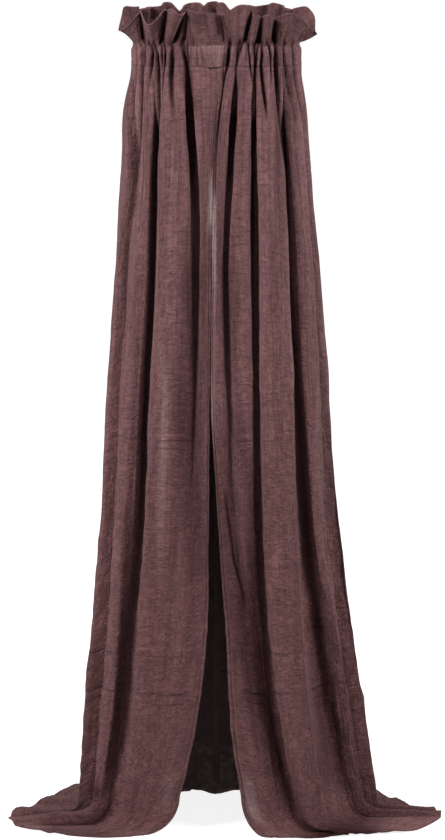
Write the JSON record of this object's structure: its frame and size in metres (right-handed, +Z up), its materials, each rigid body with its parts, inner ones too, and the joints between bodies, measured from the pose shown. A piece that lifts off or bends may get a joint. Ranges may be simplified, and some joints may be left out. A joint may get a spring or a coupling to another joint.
{
  "type": "bed crown canopy",
  "caption": "Bed crown canopy: gathered gauze curtains with a frilled header threaded on an oval wire crown, open in front and trailing on the floor.",
  "frame": {"origin": "on the floor, at the middle of the part's own footprint", "axes": "+Z up along the fall of the cloth, the opening faces -Y, +X to the right of someone who looks into the opening"},
  "size_m": [0.792, 0.3822, 1.4584],
  "materials": {
    "gauze": "matte",
    "patch_cloth": "matte",
    "tape_cloth": "matte",
    "wire": "satin",
    "sleeve_metal": "satin",
    "block_plastic": "matte",
    "screw_metal": "satin"
  },
  "bodies": {
    "canopy": {"left_panel": "gauze", "right_panel": "gauze", "left_header": "gauze", "right_header": "gauze", "left_tunnel_facing": "gauze", "right_tunnel_facing": "gauze", "left_hoop": "wire", "right_hoop": "wire", "rear_block": "block_plastic", "left_clamp_screw": "screw_metal", "right_clamp_screw": "screw_metal", "front_patch": "patch_cloth", "back_seam_tape": "tape_cloth"},
    "sleeve": {"front_sleeve": "sleeve_metal"}
  },
  "joints": [
    {"name": "sleeve_slide", "type": "slide", "parent": "canopy", "child": "sleeve", "axis": [1, 0, 0], "range_m": [-0.028, 0.028]}
  ]
}
